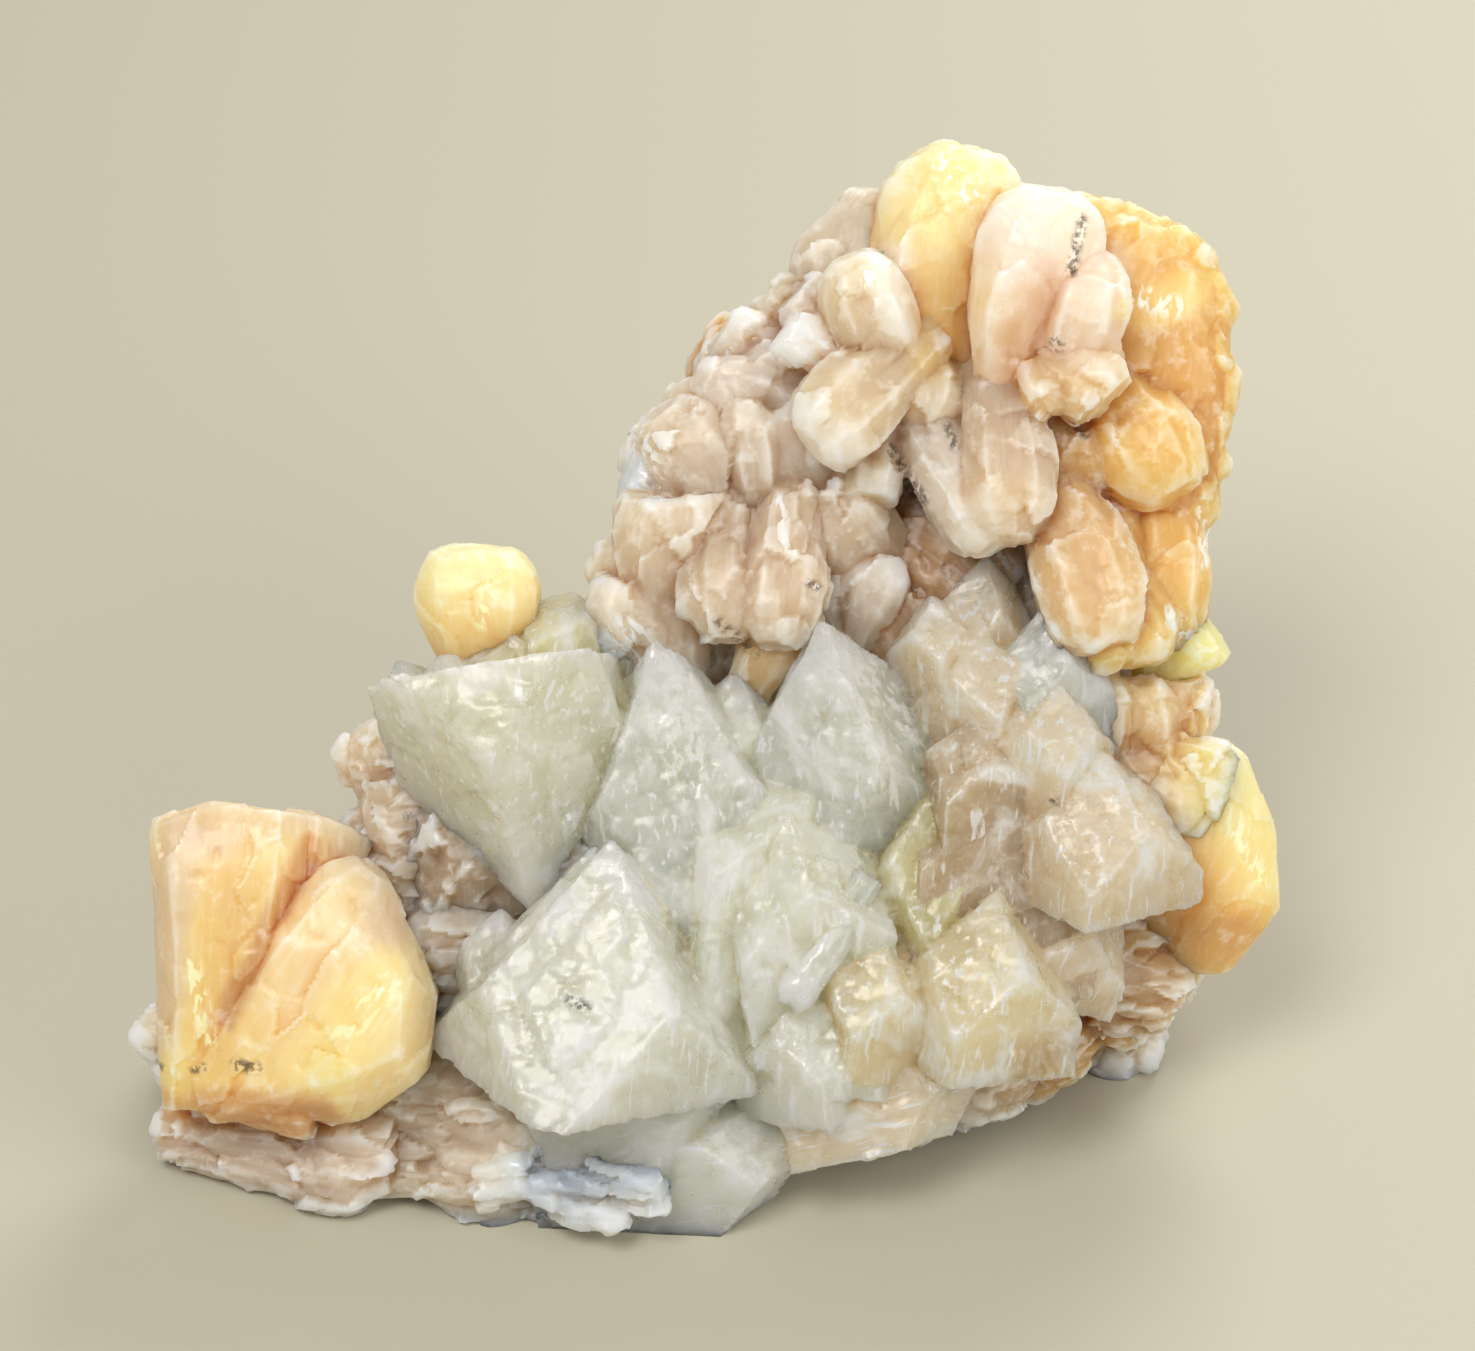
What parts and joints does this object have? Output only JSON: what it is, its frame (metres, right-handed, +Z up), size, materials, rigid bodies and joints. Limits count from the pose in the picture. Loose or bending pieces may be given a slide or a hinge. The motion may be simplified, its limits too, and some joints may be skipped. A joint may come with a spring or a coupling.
{
  "type": "mineral specimen",
  "caption": "Mineral specimen: pale green apophyllite crystals grown over a crust of peach and golden stilbite sheaves, on a flat base.",
  "frame": {"origin": "middle of the bounding box at the flat base", "axes": "+Z up, +X to the right and +Y away from the viewer who faces the apophyllite"},
  "size_m": [0.1106, 0.0834, 0.0826],
  "materials": {
    "stilbite": "peach and beige translucent crystal, pearly faces",
    "golden_stilbite": "golden translucent crystal, pearly faces",
    "apophyllite": "pale green clear to milky crystal, glassy faces"
  },
  "bodies": {
    "root": {"stilbite_mass": "stilbite", "apophyllite_cluster": "apophyllite", "stilbite_bowtie": "golden_stilbite", "stilbite_bud": "golden_stilbite", "stilbite_right_fan": "golden_stilbite", "stilbite_tab": "golden_stilbite"}
  },
  "joints": []
}
